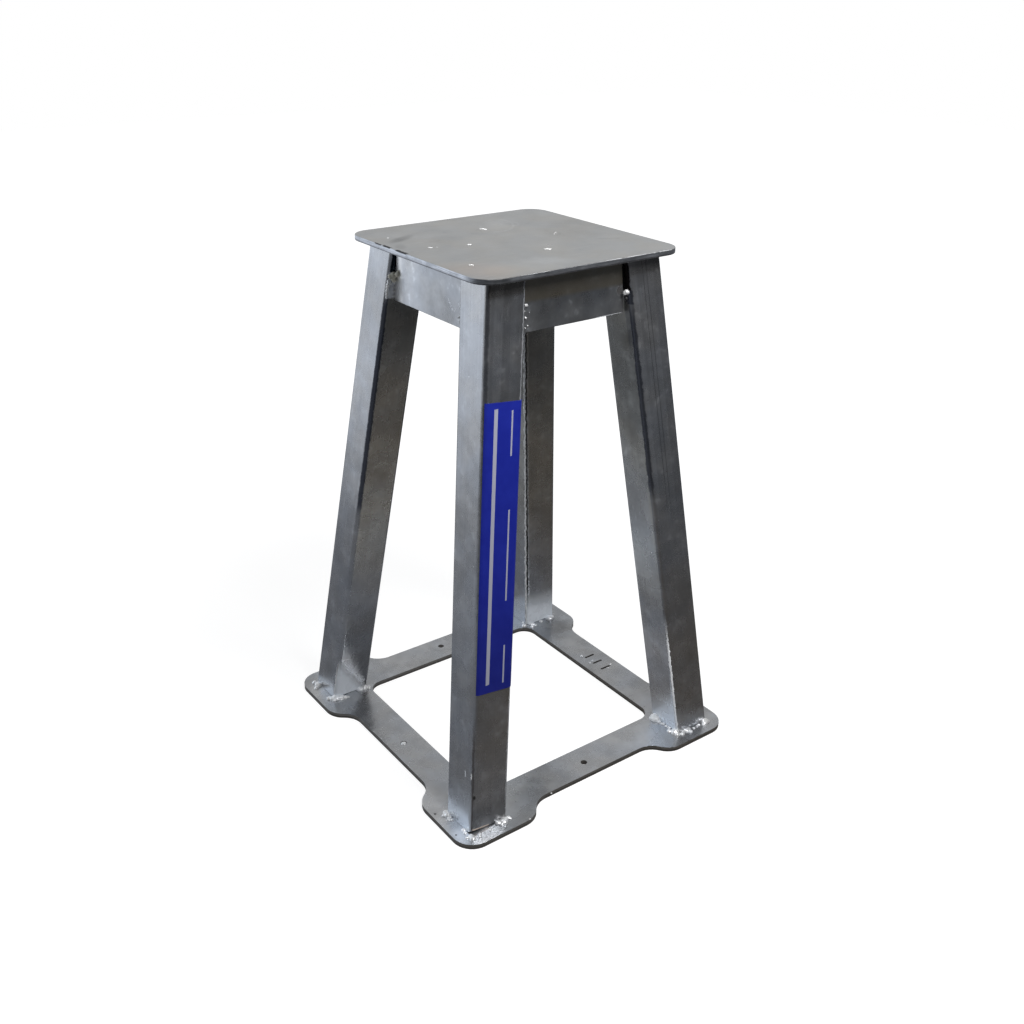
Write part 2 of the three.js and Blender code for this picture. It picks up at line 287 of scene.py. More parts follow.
# A matt spot on the front bar, painted dark as shade where the bar would mirror the weld beside it
MATT_SHADE_SPOT = (0.0628, -0.11, 0.568)
MATT_SHADE_SPOT_RADIUS = 0.0042
MATT_SHADE_SPOT_TONE = (0.062, 0.06, 0.061, 1)
# White spots on the left bar's face (y, height, radius), in millimetres
LEFT_BAR_FACE = -0.11
BAR_SPOTS = [
    (-38.5, 567.5, 1.3), (-40.5, 564.7, 1.3), (-42.5, 562, 1.2), (-45.7, 559.4, 1.5), (-49, 558.6, 1.2),
    (-50.5, 560, 0.9), (-57.5, 567.2, 0.8), (-60.6, 564, 1), (-61, 558.9, 1.2), (-59.8, 553.5, 0.9),
]
# The white of the spatter spots and of the painted highlight on the front bar's lower edge
SPATTER_AND_HIGHLIGHT_TONE = (0.9, 0.93, 0.97, 1)
# Black chips on the top plate's left edge (from y, to y, reach), where the zinc ends, and how soft they are
CHIPS = [(0.057, 0.071, 0.0008), (0.039, 0.0545, 0.0026), (0.006, 0.028, 0.0028)]
CHIP_EDGE = -0.133
CHIP_SOFT = 0.0018
CHIP_TONE, EDGE_CHIP_TONE = (0.012, 0.012, 0.012, 1), (0.018, 0.018, 0.018, 1)
# Where the top plate's rim is dull and painted dark as shade: middle x and y, turn in degrees, half length,
# half width
DULL_SHADED_RIM = (-0.105, -0.132, 0, 0.024, 0.02)
# The dark tone painted on the dull rim as shade
RIM_SHADE_TONE = (0.1, 0.1, 0.1, 1)
# The painted shadow, a dark line low on a cut edge
LOW_SHADOW_TONE = (0.05, 0.05, 0.06, 1)
# The broken painted highlight, a white line along the top plate's front rim: from and to which x it comes up
GLINT_BEGINS = (0.0, 0.04)
GLINT_TONE = (0.8, 0.82, 0.85, 1)
# Fine scuffs on the top plate: their turn and how light they are
SCUFFS = [(0.5, 0.6), (-0.9, 0.22)]
# Faint rings on the top plate (x, y, radius, tone), and its warm front left corner
RING_TONE = (0.62, 0.63, 0.65, 1)
TOP_RINGS = [(0.047, 0.069, 0.0105, RING_TONE), (0.0604, 0.001, 0.006, (0.2, 0.19, 0.19, 1))]
WARM_PATCH = (-0.108, -0.095, 45, 0.035, 0.05)
WARM_PATCH_TINT = (1.12, 1.0, 0.93, 1)
# Pits in the base plate (x, y, radius), and one in the front left tube's foot
PITS = [(-0.1952, -0.1302, 0.0014), (-0.1949, -0.1722, 0.0011)]
FOOT_PIT = (-0.1735, -0.1768, 0.0495)
FOOT_PIT_RADIUS = 0.0017
PIT_TONE, FOOT_PIT_TONE = (0.02, 0.018, 0.016, 1), (0.012, 0.011, 0.01, 1)
# The hole that zinc clogs: x, y, radius, depth, half height
CLOGGED_HOLE = (-0.157, 0.0, 0.004, 0.0014, 0.0022)
# Patches of the plates' skin, on the base plate partly painted reflections and shade: middle x and y, turn
# in degrees, half length, half width, brightness
BASE_PATCHES_AND_REFLECTIONS = [
    (-0.174, -0.186, -20, 0.04, 0.026, 1.6), (-0.07, -0.166, 0, 0.045, 0.03, 0.8),
    (0.11, -0.17, 10, 0.055, 0.03, 1.12), (-0.17, 0.098, 80, 0.042, 0.02, 0.9),
    (-0.19, 0.16, 70, 0.04, 0.016, 1.25), (0.165, 0.105, 60, 0.03, 0.022, 0.7),
    (-0.19, -0.11, 85, 0.045, 0.018, 1.2), (-0.1575, -0.187, -36, 0.012, 0.006, 1.3),
    (-0.192, -0.15, 75, 0.045, 0.016, 1.2), (0.178, 0.075, 88, 0.04, 0.03, 0.88),
    (0.175, -0.085, 88, 0.045, 0.03, 0.9), (0.16, -0.192, 0, 0.04, 0.02, 1.1),
]
TOP_PATCHES = [
    (0.029, 0.07, 52, 0.034, 0.019, 1.12), (-0.026, -0.097, -35, 0.03, 0.018, 1.12),
    (-0.1, 0.07, 25, 0.026, 0.009, 0.62), (-0.121, 0.037, 60, 0.016, 0.008, 0.8),
    (0.09, -0.053, -22, 0.02, 0.004, 0.9), (-0.06, 0.04, 15, 0.03, 0.02, 0.95),
    (0.105, 0.02, 60, 0.09, 0.045, 0.92), (-0.055, -0.105, 0, 0.075, 0.03, 1.1),
]
# Bright beads beside the slots and on the rim, standing in for glints as painted highlights (x, y, radius),
# in millimetres
BASE_GLINT_BEADS = [
    (145.2, 22.8, 2.4), (143.7, 3.5, 1.8), (150.2, 5.5, 1.6), (155.9, -20.2, 1.7), (164.7, -15.6, 2),
    (-66.5, -178.5, 1.1), (-113.2, -199, 1.2),
]

base_low, base_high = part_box("base_plate")
top_low, top_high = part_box("top_plate")
leg_low, leg_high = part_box("leg_front_left")
bar_low, bar_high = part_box("apron_front")
plate_top = base_high.z
foot_middle = -leg_low.x - TUBE_SIDE / 2
lean = (leg_high.x - leg_low.x - TUBE_SIDE) / (leg_high.z - leg_low.z)
underside = top_low.z


def tube_middle(height):
    """How far a tube's middle stands from the stand's middle, in x and in y, at a height."""
    return foot_middle - lean * (height - plate_top)


def in_metres(rows):
    return [tuple(value / 1000 for value in row) for row in rows]


# Shader helpers

class Board:
    """Holds the node tree that the helpers draw on."""
    tree = None


def new_material(name, roughness=0.4, metallic=0.0):
    material = bpy.data.materials.new(name)
    material.use_nodes = True
    Board.tree = material.node_tree
    shader = material.node_tree.nodes["Principled BSDF"]
    shader.inputs["Roughness"].default_value = roughness
    shader.inputs["Metallic"].default_value = metallic
    return material, shader


def feed(socket, value):
    """Links a socket to another, or sets it to a plain value."""
    if isinstance(value, bpy.types.NodeSocket):
        Board.tree.links.new(value, socket)
    else:
        socket.default_value = value


def feed_named(made, **values):
    """Feeds a node's inputs by their names."""
    for name, value in values.items():
        feed(made.inputs[name], value)
    return made.outputs


def node(kind, *values, **settings):
    """Adds a shader node, sets its properties and feeds its first inputs."""
    made = Board.tree.nodes.new("ShaderNode" + kind)
    for name, value in settings.items():
        setattr(made, name, value)
    for socket, value in zip(made.inputs, values):
        feed(socket, value)
    return made


def math_node(operation, total, *others):
    """Adds a math node, or a chain of them where there are more than two values."""
    for value in others:
        total = node("Math", total, value, operation=operation).outputs[0]
    return total


def add(*values):
    return math_node("ADD", *values)


def times(*values):
    return math_node("MULTIPLY", *values)


def minus(first, second):
    return math_node("SUBTRACT", first, second)


def larger(*values):
    return math_node("MAXIMUM", *values)


def one_math(operation, value):
    return node("Math", value, operation=operation).outputs[0]


def plain_size(value):
    """A value without its sign."""
    return one_math("ABSOLUTE", value)


def swing(value, amount):
    """A value between 0 and 1 made one that swings about 0."""
    return times(minus(value, 0.5), amount)


def mix(factor, first, second, blend="MIX"):
    made = node("Mix", data_type="RGBA", blend_type=blend)
    for index, value in zip((0, 6, 7), (factor, first, second)):
        feed(made.inputs[index], value)
    return made.outputs[2]


def tinted(colour, tint):
    return mix(1.0, colour, tint, "MULTIPLY")


def ramp(value, low, high, to_low=0.0, to_high=1.0, kind="SMOOTHSTEP"):
    """Maps a value between low and high to the range given."""
    return node("MapRange", value, low, high, to_low, to_high, interpolation_type=kind).outputs[0]


def noise_value(vector, scale, detail=3.0, roughness=0.55):
    made = node("TexNoise")
    return feed_named(made, Vector=vector, Scale=scale, Detail=detail, Roughness=roughness)["Fac"]


def around(vector, scale=(1, 1, 1), location=(0, 0, 0), turn=0.0):
    made = node("Mapping")
    return feed_named(made, Vector=vector, Scale=scale, Location=location, Rotation=(0, 0, turn))["Vector"]


def own_place():
    return node("TexCoord").outputs["Object"]


def axes_of(vector):
    return node("SeparateXYZ", vector).outputs


def dot(vector, direction):
    return node("VectorMath", vector, direction, operation="DOT_PRODUCT").outputs["Value"]


def oval(place, x, y, turn, half_length, half_width):
    """How far a point lies from an oval's middle, as a share of the oval, seen from above."""
    turn = math.radians(turn)
    along = Vector((math.cos(turn), math.sin(turn), 0)) / half_length
    across = Vector((-math.sin(turn), math.cos(turn), 0)) / half_width
    middle = Vector((x, y, 0))
    first = minus(dot(place, along), along.dot(middle))
    second = minus(dot(place, across), across.dot(middle))
    return one_math("SQRT", add(times(first, first), times(second, second)))


def gain(mask, brightness):
    """A factor that is 1 outside a mask and the brightness inside it."""
    return add(1.0, times(mask, brightness - 1.0))


def shaded(colour, factor):
    return tinted(colour, node("CombineColor", factor, factor, factor).outputs[0])


def distance(vector, point):
    return node("VectorMath", vector, point, operation="DISTANCE").outputs["Value"]


def spot(place, point, radius, soft=0.4):
    """1 inside a round spot, 0 outside it."""
    return ramp(distance(place, point), radius * (1 - soft), radius * (1 + soft), 1.0, 0.0)


def between(value, low, high, soft):
    """1 where a value lies between two others, 0 elsewhere."""
    return times(ramp(value, low - soft, low + soft), ramp(value, high - soft, high + soft, 1, 0))


def open_group(name, inputs, outputs):
    """Starts a node group, and gives the sockets of what it is given and of what it puts out."""
    tree = Board.tree = bpy.data.node_groups.new(name, "ShaderNodeTree")
    for socket_name, kind, value in inputs:
        socket = tree.interface.new_socket(name=socket_name, in_out="INPUT", socket_type="NodeSocket" + kind)
        if value is not None:
            socket.default_value = value
    for socket_name, kind in outputs:
        tree.interface.new_socket(name=socket_name, in_out="OUTPUT", socket_type="NodeSocket" + kind)
    return tree, tree.nodes.new("NodeGroupInput").outputs, tree.nodes.new("NodeGroupOutput").inputs


def zinc_group():
    """The look of a dipped zinc skin: clouds, white feathers, streaks and specks, and a wavy surface."""
    tree, given, result = open_group(
        "zinc_skin",
        [("Vector", "Vector", None), ("Lengthwise", "Vector", None),
         ("Tone", "Color", (0.42, 0.43, 0.45, 1)),
         *((name, "Float", value) for name, value in ZINC_LEVELS.items())],
        [("Colour", "Color"), ("Roughness", "Float"), ("Normal", "Vector")],
    )
    place = given["Vector"]
    wide = noise_value(place, 9.0, 2.0)
    cloud = noise_value(place, 38.0)
    fleece = noise_value(place, 110.0)
    grain = noise_value(place, 260.0, 2.0, 0.6)
    runs = noise_value(around(given["Lengthwise"], (420.0, 6.0, 1.0)), 1.0, 4.0)
    streaks = noise_value(around(given["Lengthwise"], (560.0, 34.0, 1.0)), 1.0)
    patch = noise_value(place, 26.0, 2.0)
    cells = feed_named(node("TexVoronoi"), Vector=place, Scale=95.0)
    chance = node("SeparateColor", cells["Color"]).outputs

    level = add(swing(wide, 0.9), swing(cloud, 2.4), swing(fleece, 0.7), swing(grain, given["Grain"]))
    level = add(times(level, given["Clouds"]), swing(runs, given["Runs"]), 1.0)
    hue = ramp(noise_value(place, 21.0, 2.0), 0.35, 0.65)
    colour = tinted(shaded(given["Tone"], level), mix(hue, COOL_TINT, WARM_TINT))
    feather = times(ramp(fleece, 0.52, 0.7), ramp(cloud, 0.5, 0.62))
    streak = times(ramp(streaks, 0.6, 0.74), ramp(patch, 0.5, 0.6), given["Runs"], 3.0)
    white = larger(feather, streak)
    colour = mix(times(white, given["Feathers"]), colour, FEATHER_TONE)
    size = ramp(chance[1], 0.0, 1.0, 0.03, 0.1)
    fleck = ramp(math_node("DIVIDE", cells["Distance"], size), 0.6, 1.1, 1.0, 0.0)
    fleck = times(fleck, ramp(chance[0], 0.9, 0.91), given["Specks"])
    colour = mix(times(fleck, 0.65), colour, FLECK_TONE)
    feed(result["Colour"], colour)
    feed(result["Roughness"], add(given["Gloss"], swing(cloud, 0.25), times(white, 0.1)))

    height = add(times(wide, 2.0), times(cloud, 0.12), times(runs, given["Runs"], 0.1))
    bump = feed_named(node("Bump"), Strength=0.6, Distance=0.0006, Height=height)
    feed(result["Normal"], bump[0])
    return tree


ZINC_SKIN = zinc_group()


def zinc_material(name, tone, metallic=0.85, **levels):
    """A zinc material, and what is needed to lay marks over its colour."""
    material, shader = new_material(name, metallic=metallic)
    coordinates = node("TexCoord").outputs
    skin = feed_named(node("Group", node_tree=ZINC_SKIN), Vector=coordinates["Object"],
                      Lengthwise=coordinates["UV"], Tone=(*tone, 1), **{**ZINC_LEVELS, **levels})
    for socket, output in (("Base Color", "Colour"), ("Roughness", "Roughness"), ("Normal", "Normal")):
        feed(shader.inputs[socket], skin[output])
    return material, shader, coordinates, skin["Colour"]


def roughened(shader, mask):
    """Makes a surface rough where a mask is 1."""
    before = shader.inputs["Roughness"].links[0].from_socket
    feed(shader.inputs["Roughness"], larger(before, times(mask, 0.9)))


def inner_faces(place):
    """1 on the tubes' faces that look to the stand's inside, 0 on those that look out."""
    axes = axes_of(place)
    nearest = math_node("MINIMUM", plain_size(axes[0]), plain_size(axes[1]))
    offset = minus(add(nearest, times(axes[2], lean)), foot_middle + lean * plate_top - TUBE_SIDE / 2)
    return ramp(offset, 0.0001, 0.0007, 1.0, 0.0)


def tube_material(name):
    """A tube's zinc with painted highlights along its edges, its bands, its painted glow at the foot, its
    inner faces darker and lighter by painted shade and light, and marks that are mostly painted light and
    shade.
    """
    material, shader, coordinates, colour = zinc_material(
        f"tube_zinc_{name}", (0.45, 0.455, 0.47), Clouds=0.26, Runs=0.3, Feathers=0.22, Gloss=0.27)
    place = coordinates["Object"]
    across, up, _ = axes_of(coordinates["UV"])
    # Painted light and shade: the inner faces made brighter or darker by height
    low, middle, high, fade_from, fade_to = INNER_FACE_LIGHT_AND_SHADE[name]
    inner = ramp(up, 0.1, 0.24, low, middle)
    inner = add(inner, ramp(up, fade_from, fade_to, 0.0, high - middle), -1.0)
    factor = add(1.0, times(inner_faces(place), inner))
    for start, end, brightness in TUBE_BANDS.get(name, ()):
        band = times(between(across, start, end, 0.0005), ramp(up, *BANDS_BEGIN))
        factor = times(factor, gain(band, brightness))
    colour = shaded(colour, factor)

    warm = times(inner_faces(place), ramp(up, 0.12, 0.25), 0.8)
    colour = mix(warm, colour, tinted(colour, INNER_TINT))
    around_tube = add(across, swing(noise_value(place, 150.0), RAGGED))
    matt = lift = 0.0
    # The marks, most of them painted light and shade
    for *reaches, mark, strength, mattness in TUBE_MARKS[name]:
        start, end, low_end, high_end, soft_round, soft_up = (reach / 1000 for reach in reaches)
        mask = times(between(around_tube, start, end, soft_round),
                     between(up, low_end, high_end, soft_up), strength)
        colour = mix(mask, colour, (*mark, 1))
        if mattness:
            matt = larger(times(mask, mattness), matt)
        # White marks also bend the shading normal up towards the lamp, as painted highlights
        if mark is WHITE:
            lift = larger(mask, lift)
    on_left = ramp(across, -0.0012, 0.0002, 1, 0)
    # The glow at the feet: painted light and reflection; where raised, it also bends the shading normal up
    # towards the lamp, for a stronger highlight
    for (strength, height, fall, raised, fade), side, mattness in zip(
            FOOT_GLOWS[name], (on_left, minus(1.0, on_left)), GLOW_MATTNESS):
        reach = add(up, times(plain_size(across), fall))
        mask = times(ramp(reach, fade * height, height, 1, 0), side)
        glow = times(mask, min(1.0, 0.85 * strength))
        colour = mix(glow, colour, GLOW_TONE)
        if raised:
            matt = larger(matt, ramp(mask, 0.0, 0.5, 0.0, mattness))
            lift = larger(lift, ramp(mask, 0.6, 1.0, 0.0, raised))
        else:
            matt = larger(matt, times(glow, mattness))
    if name == "front_left":
        height, fall, reach = FOOT_LIP
        lip = between(add(up, times(across, fall)), height - 0.0012, height + 0.001, 0.0003)
        lip = times(lip, between(across, 0.001, reach, 0.001))
        colour = mix(times(lip, 0.9), colour, LIP_TONE)
        matt = larger(matt, times(lip, 0.95))
        lift = larger(lift, times(lip, 0.4))
        pit = spot(around(place, (1, 1, 0.6), (0, 0, 0.4 * FOOT_PIT[2])), FOOT_PIT, FOOT_PIT_RADIUS)
        colour = mix(times(pit, 0.95), colour, FOOT_PIT_TONE)
        matt = larger(matt, pit)
    feed(shader.inputs["Base Color"], colour)
    feed(shader.inputs["Metallic"], times(minus(1.0, matt), 0.9))
    upwards = node("CombineXYZ", 0.0, 0.0, lift).outputs[0]
    normal = shader.inputs["Normal"].links[0].from_socket
    normal = node("VectorMath", normal, upwards, operation="ADD").outputs[0]
    feed(shader.inputs["Normal"], node("VectorMath", normal, operation="NORMALIZE").outputs[0])
    return material


def patched(place, colour, patches):
    """Lays soft patches over a plate's colour."""
    wobble = swing(noise_value(place, 45.0, 1.0), 0.8)
    factor = 1.0
    for x, y, turn, half_length, half_width, brightness in patches:
        reach = add(oval(place, x, y, turn, half_length, half_width), wobble)
        factor = times(gain(ramp(reach, 0.35, 1.15, 1, 0), brightness), factor)
    return shaded(colour, factor)


def top_plate_material():
    material, shader, coordinates, colour = zinc_material(
        "top_plate_zinc", (0.366, 0.37, 0.369), Clouds=0.13, Feathers=0.05, Specks=0.3, Gloss=0.33,
        Grain=0.2)
    place = coordinates["Object"]
    axes = axes_of(place)
    for turn, level in SCUFFS:
        scuff = ramp(noise_value(around(place, (22.0, 380.0, 1.0), turn=turn), 1.0, 2.0), 0.62, 0.72)
        colour = mix(times(scuff, 0.16), colour, (level, level, level, 1))
    colour = patched(place, colour, TOP_PATCHES)
    patchy = ramp(noise_value(place, 150.0), 0.35, 0.6)
    for x, y, radius, tone in TOP_RINGS:
        ring = plain_size(minus(oval(place, x, y, 0, 1, 1), radius))
        colour = mix(times(ramp(ring, 0.0, 0.0018, 1, 0), patchy, 0.3), colour, tone)
    warm = times(ramp(oval(place, *WARM_PATCH), 0.2, 1.2, 1, 0), 0.8)
    colour = mix(warm, colour, tinted(colour, WARM_PATCH_TINT))
    border = plain_size(minus(oval(place, *TOP_PATCHES[0][:5]), 1.0))
    colour = mix(times(ramp(border, 0.02, 0.14, 1, 0), patchy, 0.2), colour, RING_TONE)
    ragged = noise_value(place, 240.0)
    chipped = 0.0
    for start, end, reach in CHIPS:
        edge = add(CHIP_EDGE + reach, swing(ragged, 1.6 * reach))
        inwards = minus(axes[0], edge)
        chip = times(between(axes[1], start, end, CHIP_SOFT), ramp(inwards, -0.0006, 0.0008, 1, 0))
        chipped = larger(chip, chipped)
    colour = mix(times(chipped, 0.97), colour, CHIP_TONE)
    # Painted shade: the rim made dull and dark near the front left corner
    rim = ramp(axes[2], top_high.z - 0.0003, top_high.z - 0.00005, 1, 0)
    dull = times(rim, ramp(oval(place, *DULL_SHADED_RIM), 0.6, 1.0, 1, 0))
    chipped = larger(chipped, dull)
    colour = mix(times(dull, 0.9), colour, RIM_SHADE_TONE)
    # A painted highlight: a broken white line along the front rim
    broken = ramp(noise_value(around(place, (90.0, 20.0, 1.0)), 1.0), 0.42, 0.56)
    glint = times(broken, ramp(axes[1], top_low.y + 0.0008, top_low.y + 0.0014, 1, 0),
                  ramp(axes[0], *GLINT_BEGINS), 0.62)
    colour = mix(glint, colour, GLINT_TONE)
    feed(shader.inputs["Base Color"], colour)
    feed(shader.inputs["Metallic"], times(minus(1.0, larger(chipped, glint)), 0.85))
    roughened(shader, chipped)
    return material


def base_plate_material():
    material, shader, coordinates, colour = zinc_material(
        "base_plate_zinc", (0.475, 0.487, 0.508), Clouds=0.24, Feathers=0.04, Specks=0.3, Gloss=0.27,
        Grain=0.0)
    place = coordinates["Object"]
    # Patches of the zinc, partly painted reflections and shade
    colour = patched(place, colour, BASE_PATCHES_AND_REFLECTIONS)
    for x, y, radius in PITS:
        colour = mix(times(spot(place, (x, y, plate_top), radius), 0.9), colour, PIT_TONE)
    feed(shader.inputs["Base Color"], colour)
    return material


def bar_material():
    """The bars' zinc, darker under the top plate's front as painted shade, with a painted highlight along
    the front bar's lower edge.
    """
    material, shader, coordinates, colour = zinc_material(
        "apron_zinc", (0.47, 0.48, 0.5), Clouds=0.42, Feathers=0.8, Gloss=0.31)
    place = coordinates["Object"]
    axes = axes_of(place)
    front = ramp(axes[1], bar_low.y + 0.002, bar_low.y + 0.0024, 1, 0)
    left_bar = ramp(axes[0], -bar_high.y - 0.002, -bar_high.y, 1, 0)
    # Painted shade and light: the front bar darker than the others, and the left bar lighter towards its
    # back
    colour = shaded(colour, gain(front, 0.69))
    colour = shaded(colour, add(1.0, times(left_bar, ramp(axes[1], -0.01, 0.055, -0.07, 0.25))))
    shade = times(front, ramp(axes[2], BAR_SHADE - 0.003, BAR_SHADE + 0.003), 0.55)
    colour = mix(shade, colour, BAR_SHADE_TONE)
    # Painted light on the left bar's back end, which the tube shades
    colour = mix(times(left_bar, ramp(axes[1], *BAR_END_PAINTED_LIGHT), 0.9), colour, BAR_END_PAINTED_LIGHT_TONE)
    # A painted highlight along the front bar's lower edge, and the white spatter spots on the left bar
    light = times(front, ramp(axes[2], BAR_LIGHT - 0.0003, BAR_LIGHT + 0.0003, 1, 0),
                  between(axes[0], *BAR_LIGHT_REACH, 0.004), 0.7)
    for y, height, radius in in_metres(BAR_SPOTS):
        light = larger(light, spot(place, (LEFT_BAR_FACE, y, height), radius))
    colour = mix(light, colour, SPATTER_AND_HIGHLIGHT_TONE)
    # Painted shade: a dark matt spot where the front bar would mirror the weld beside it
    dark = spot(place, MATT_SHADE_SPOT, MATT_SHADE_SPOT_RADIUS, 0.06)
    colour = mix(dark, colour, MATT_SHADE_SPOT_TONE)
    feed(shader.inputs["Base Color"], colour)
    feed(shader.inputs["Metallic"], ramp(larger(light, dark), 0.0, 1.0, 0.85, 0.1, "LINEAR"))
    roughened(shader, dark)
    return material


def cut_edge_material(name, tone, foot_tone, bottom, top, gloss, metallic):
    """The cut edge of a plate, with fine level lines and a painted shadow low down; the foot's tone shows
    towards its lower rim.
    """
    material, shader = new_material(name, metallic=metallic)
    place = own_place()
    share = ramp(axes_of(place)[2], bottom, top, kind="LINEAR")
    lines = noise_value(around(place, (30.0, 30.0, 900.0)), 1.0)
    colour = mix(ramp(share, 0.15, 0.55), (*foot_tone, 1), (*tone, 1))
    colour = shaded(colour, ramp(lines, 0.3, 0.7, 0.75, 1.2))
    # A painted shadow: a dark line low on the edge
    colour = mix(times(between(share, 0.1, 0.22, 0.05), 0.6), colour, LOW_SHADOW_TONE)
    feed(shader.inputs["Roughness"], ramp(lines, 0.3, 0.7, gloss, gloss + 0.08))
    feed(shader.inputs["Base Color"], colour)
    return material, shader, place, share, colour


def top_edge_material():
    """The top plate's edge, painted darker in front as shade, with its dull rim painted dark and its chips.
    """
    material, shader, place, share, colour = cut_edge_material(
        "top_plate_edge", (0.52, 0.54, 0.58), (0.42, 0.43, 0.46), underside, top_high.z, 0.34, 0.9)
    axes = axes_of(place)
    mottle = ramp(noise_value(place, 70.0), 0.3, 0.7, 0.82, 1.18)
    # Painted shade: the edge darker in front and at the front left corner
    front = gain(ramp(axes[1], -0.1315, -0.13, 1, 0), 0.72)
    corner = gain(times(ramp(axes[1], -0.112, -0.1, 1, 0), ramp(axes[0], -0.108, -0.095, 1, 0)), 0.55)
    colour = shaded(colour, times(mottle, front, corner))
    dull = times(ramp(share, 0.86, 0.9), ramp(oval(place, *DULL_SHADED_RIM), 0.6, 1.0, 1, 0))
    colour = mix(times(dull, 0.9), colour, RIM_SHADE_TONE)
    feed(shader.inputs["Metallic"], ramp(dull, 0.0, 1.0, 0.9, 0.0, "LINEAR"))
    roughened(shader, dull)
    for start, end, _ in CHIPS:
        chip = times(between(axes[1], start, end, CHIP_SOFT), ramp(share, 0.78, 0.88),
                     ramp(axes[0], -0.12, -0.11, 1, 0))
        colour = mix(times(chip, 0.9), colour, EDGE_CHIP_TONE)
    feed(shader.inputs["Base Color"], colour)
    return material


TUBE_ZINCS = {name: tube_material(name) for name, _, _ in CORNERS}
TOP_ZINC = top_plate_material()
BASE_ZINC = base_plate_material()
TOP_EDGE = top_edge_material()
BASE_EDGE = cut_edge_material("base_plate_edge", (0.26, 0.245, 0.225), (0.1, 0.088, 0.075),
                              base_low.z, base_high.z, 0.35, 0.6)[0]
BAR_ZINC = bar_material()


def weld_material(name, tone, clouds, gloss, metallic):
    """The zinc on a weld, without feathers and specks."""
    return zinc_material(name, tone, metallic, Clouds=clouds, Gloss=gloss, Feathers=0.0, Specks=0.0)[:2]


WELD_ZINC, _ = weld_material("weld_zinc", (0.94, 0.95, 0.97), 0.1, 0.32, 0.45)
# Near black, as painted shade and dark reflection on the lumps under the front bar's weld
DARK_PAINTED_WELD, dark_weld_shader = weld_material("dark_painted_weld", (0.022, 0.022, 0.024), 0.8, 0.45, 0.0)
dark_weld_shader.inputs["Specular IOR Level"].default_value = 0.25
DROP_ZINC, _ = weld_material("drop_zinc", (0.96, 0.97, 0.98), 0.05, 0.3, 0.05)
BROWN_WELD, _ = weld_material("brown_weld", (0.8, 0.77, 0.65), 0.6, 0.5, 0.0)


def label_material():
    """Plain blue film with plain white lines along it."""
    material, shader = new_material("blue_vinyl", roughness=0.35)
    place = own_place()
    axes = axes_of(place)
    colour = mix(ramp(noise_value(place, 60.0, 2.0), 0.3, 0.7), *FILM_TONES)
    # Painted light: the film darker towards the bottom and lighter higher up
    colour = shaded(colour, ramp(axes[2], 0.16, 0.32, 0.82, 1.1))
    across = add(axes[0], times(axes[2], -lean), foot_middle + lean * plate_top)
    for middle, width, stretches in LABEL_LINES:
        stripe = between(across, middle - width / 2, middle + width / 2, 0.0002)
        for low, high in stretches:
            colour = mix(times(stripe, between(axes[2], low, high, 0.0003)), colour, LINE_TONE)
    feed(shader.inputs["Base Color"], colour)
    return material


LABEL_BLUE = label_material()


# Mesh helpers

def copy_of(cad_node):
    """The mesh of a CAD node as a bmesh, with its doubles merged and its flat faces joined."""
    made = bmesh.new()
    made.from_mesh(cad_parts[cad_node].data)
    bmesh.ops.remove_doubles(made, verts=made.verts, dist=MERGE_DISTANCE)
    bmesh.ops.dissolve_limit(made, angle_limit=FLAT_ANGLE, verts=made.verts, edges=made.edges)
    return made


def round_edges(made, width, segments=3, above=-1.0):
    rims = [edge for edge in made.edges if edge.is_manifold and edge.calc_face_angle() > RIM_ANGLE
            and max(vert.co.z for vert in edge.verts) > above]
    bmesh.ops.bevel(made, geom=rims, offset=width, offset_type="OFFSET", segments=segments, profile=0.5,
                    affect="EDGES", material=-1, clamp_overlap=True)


def linked(name, data):
    """Puts an object with this data into the scene."""
    thing = bpy.data.objects.new(name, data)
    bpy.context.scene.collection.objects.link(thing)
    return thing


def thing_of(name, made):
    """Makes a finished bmesh an object of the scene."""
    mesh = bpy.data.meshes.new(name)
    made.to_mesh(mesh)
    made.free()
    return linked(name, mesh)


def piece(name, made, materials, replaced=()):
    """Turns a bmesh into a piece of the stand that rides on its one body."""
    bmesh.ops.recalc_face_normals(made, faces=made.faces)
    thing = thing_of(name, made)
    for material in materials:
        thing.data.materials.append(material)
    thing.data.shade_smooth()
    thing.data.set_sharp_from_angle(angle=SMOOTH_ANGLE)
    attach(thing, "root")
    if replaced:
        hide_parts(*replaced)
    return thing


def keep_flat_faces(thing):
    """Keeps the big flat faces flat beside their rounded rims."""
    modifier = thing.modifiers.new("flat_faces", "WEIGHTED_NORMAL")
    modifier.keep_sharp = True
    modifier.weight = 100


def slice_off(made, point, direction):
    """Cuts away all that lies past a plane and closes the cut."""
    everything = [*made.verts, *made.edges, *made.faces]
    cut = bmesh.ops.bisect_plane(made, geom=everything, plane_co=point, plane_no=direction, clear_outer=True)
    rim = [item for item in cut["geom_cut"] if isinstance(item, bmesh.types.BMEdge)]
    bmesh.ops.edgenet_fill(made, edges=rim)


def outside_of(turns):
    """Turns a point of the front side to the side that is so many quarter turns on."""
    return Matrix.Rotation(turns * math.pi / 2, 4, "Z")


# Pieces

def add_plates():
    for name, cad_node, face, edge in (("base_sheet", "base_plate", BASE_ZINC, BASE_EDGE),
                                       ("top_sheet", "top_plate", TOP_ZINC, TOP_EDGE)):
        made = copy_of(cad_node)
        round_edges(made, PLATE_EDGE_ROUNDING)
        for plate_face in made.faces:
            plate_face.material_index = int(abs(plate_face.normal.z) < EDGE_TILT)
        keep_flat_faces(piece(name, made, [face, edge], [cad_node]))


